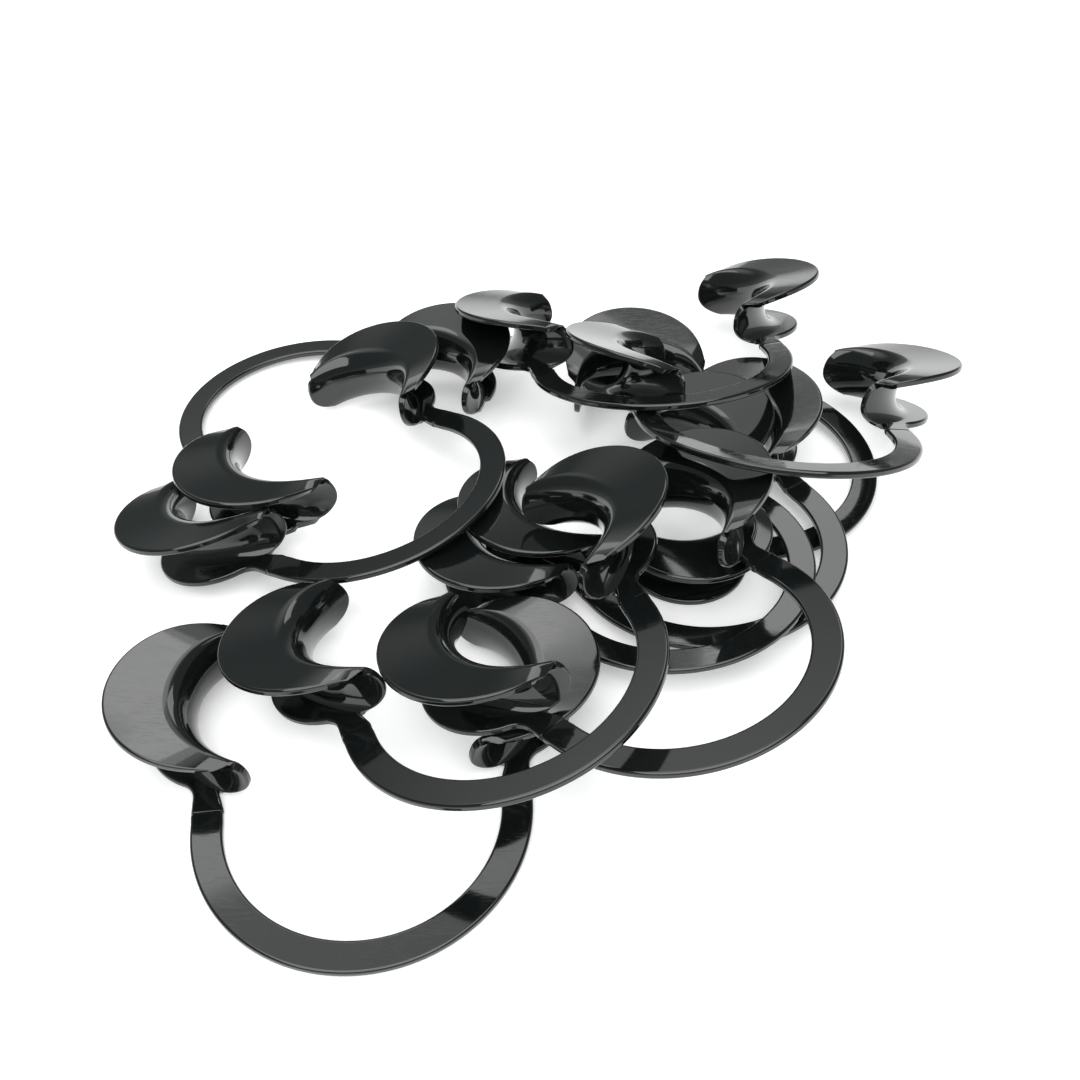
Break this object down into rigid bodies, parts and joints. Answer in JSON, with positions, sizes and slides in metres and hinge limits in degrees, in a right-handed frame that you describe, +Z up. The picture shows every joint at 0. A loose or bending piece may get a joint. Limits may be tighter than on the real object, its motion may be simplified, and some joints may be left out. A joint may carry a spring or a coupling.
{
  "type": "cheek retractors",
  "caption": "Loose tangled heap of glossy black plastic cheek retractors, each a springy open band with a grooved saddle at both ends.",
  "frame": {"origin": "centre of the heap's bounding box, on the surface that the heap lies on", "axes": "+Z up, +Y away from the front of the heap, +X to the right"},
  "size_m": [0.2444, 0.2422, 0.0482],
  "materials": {
    "black_plastic": "polished injection moulding"
  },
  "bodies": {
    "retractor_1_left_arm": {"retractor_1_left_arm": "black_plastic"},
    "retractor_1_right_arm": {"retractor_1_right_arm": "black_plastic"},
    "retractor_2_left_arm": {"retractor_2_left_arm": "black_plastic"},
    "retractor_2_right_arm": {"retractor_2_right_arm": "black_plastic"},
    "retractor_3_left_arm": {"retractor_3_left_arm": "black_plastic"},
    "retractor_3_right_arm": {"retractor_3_right_arm": "black_plastic"},
    "retractor_4_left_arm": {"retractor_4_left_arm": "black_plastic"},
    "retractor_4_right_arm": {"retractor_4_right_arm": "black_plastic"},
    "retractor_5_left_arm": {"retractor_5_left_arm": "black_plastic"},
    "retractor_5_right_arm": {"retractor_5_right_arm": "black_plastic"},
    "retractor_6_left_arm": {"retractor_6_left_arm": "black_plastic"},
    "retractor_6_right_arm": {"retractor_6_right_arm": "black_plastic"},
    "retractor_7_left_arm": {"retractor_7_left_arm": "black_plastic"},
    "retractor_7_right_arm": {"retractor_7_right_arm": "black_plastic"},
    "retractor_8_left_arm": {"retractor_8_left_arm": "black_plastic"},
    "retractor_8_right_arm": {"retractor_8_right_arm": "black_plastic"},
    "retractor_9_left_arm": {"retractor_9_left_arm": "black_plastic"},
    "retractor_9_right_arm": {"retractor_9_right_arm": "black_plastic"},
    "retractor_10_left_arm": {"retractor_10_left_arm": "black_plastic"},
    "retractor_10_right_arm": {"retractor_10_right_arm": "black_plastic"}
  },
  "joints": [
    {"name": "retractor_9_lift", "type": "slide", "parent": "retractor_1_right_arm", "child": "retractor_9_right_arm", "axis": [0.174, 0, 0.9848], "range_m": [0, 0.12]},
    {"name": "retractor_8_lift", "type": "slide", "parent": "retractor_9_right_arm", "child": "retractor_8_left_arm", "axis": [0.6119, -0.7724, 0.1705], "range_m": [0, 0.002]},
    {"name": "retractor_10_lift", "type": "slide", "parent": "retractor_8_left_arm", "child": "retractor_10_left_arm", "axis": [-0.591, 0.7312, 0.3406], "range_m": [0, 0.006]},
    {"name": "retractor_3_lift", "type": "slide", "parent": "retractor_10_left_arm", "child": "retractor_3_left_arm", "axis": [0, 0, 1], "range_m": [0, 0.12]},
    {"name": "retractor_7_lift", "type": "slide", "parent": "retractor_3_left_arm", "child": "retractor_7_left_arm", "axis": [-0.2959, -0.171, 0.9398], "range_m": [0, 0.12]},
    {"name": "retractor_5_lift", "type": "slide", "parent": "retractor_7_left_arm", "child": "retractor_5_left_arm", "axis": [-0.2959, -0.171, 0.9398], "range_m": [0, 0.12]},
    {"name": "retractor_4_lift", "type": "slide", "parent": "retractor_5_left_arm", "child": "retractor_4_left_arm", "axis": [-0.2239, -0.8367, 0.4998], "range_m": [0, 0.12]},
    {"name": "retractor_2_lift", "type": "slide", "parent": "retractor_4_left_arm", "child": "retractor_2_right_arm", "axis": [-0.2959, -0.171, 0.9398], "range_m": [0, 0.12]},
    {"name": "retractor_6_lift", "type": "slide", "parent": "retractor_5_left_arm", "child": "retractor_6_left_arm", "axis": [0.185, -0.9322, 0.3111], "range_m": [0, 0.024]},
    {"name": "retractor_1_flex", "type": "hinge", "parent": "retractor_1_right_arm", "child": "retractor_1_left_arm", "pos_m": [-0.04209, -0.11711, 0.0011], "axis": [0, 0, 1], "range_deg": [-8, 12], "stiffness_Nm_per_rad": 1.5},
    {"name": "retractor_2_flex", "type": "hinge", "parent": "retractor_2_right_arm", "child": "retractor_2_left_arm", "pos_m": [-0.0008, -0.09105, 0.03208], "axis": [-0.2649, 0.1352, 0.9548], "range_deg": [0, 11], "stiffness_Nm_per_rad": 1.5},
    {"name": "retractor_3_flex", "type": "hinge", "parent": "retractor_3_left_arm", "child": "retractor_3_right_arm", "pos_m": [0.05056, -0.07669, 0.03172], "axis": [-0.1995, 0.1264, 0.9717], "range_deg": [-1, 0], "stiffness_Nm_per_rad": 1.5},
    {"name": "retractor_4_flex", "type": "hinge", "parent": "retractor_4_left_arm", "child": "retractor_4_right_arm", "pos_m": [-0.02469, -0.00314, 0.02243], "axis": [-0.2238, 0.1109, 0.9683], "range_deg": [-1, 16], "stiffness_Nm_per_rad": 1.5},
    {"name": "retractor_5_flex", "type": "hinge", "parent": "retractor_5_left_arm", "child": "retractor_5_right_arm", "pos_m": [-0.10776, 0.08913, 0.00203], "axis": [-0.0696, 0.0556, 0.996], "range_deg": [-1, 16], "stiffness_Nm_per_rad": 1.5},
    {"name": "retractor_6_flex", "type": "hinge", "parent": "retractor_6_left_arm", "child": "retractor_6_right_arm", "pos_m": [0.0384, 0.02875, 0.03678], "axis": [-0.0756, 0.314, 0.9464], "range_deg": [-12, 12], "stiffness_Nm_per_rad": 1.5},
    {"name": "retractor_7_flex", "type": "hinge", "parent": "retractor_7_left_arm", "child": "retractor_7_right_arm", "pos_m": [0.06389, -0.00893, 0.04399], "axis": [0.0808, 0.3804, 0.9213], "range_deg": [-12, 10], "stiffness_Nm_per_rad": 1.5},
    {"name": "retractor_8_flex", "type": "hinge", "parent": "retractor_8_left_arm", "child": "retractor_8_right_arm", "pos_m": [0.0612, -0.02751, 0.0076], "axis": [-0.0623, 0.0206, 0.9978], "range_deg": [-10, 0], "stiffness_Nm_per_rad": 1.5},
    {"name": "retractor_9_flex", "type": "hinge", "parent": "retractor_9_right_arm", "child": "retractor_9_left_arm", "pos_m": [0.05304, -0.03475, 0.01016], "axis": [-0.0914, 0.0419, 0.9949], "range_deg": [0, 2], "stiffness_Nm_per_rad": 1.5},
    {"name": "retractor_10_flex", "type": "hinge", "parent": "retractor_10_left_arm", "child": "retractor_10_right_arm", "pos_m": [0.0946, 0.04666, 0.00366], "axis": [0.0053, -0.0451, 0.999], "range_deg": [-12, 0], "stiffness_Nm_per_rad": 1.5}
  ]
}
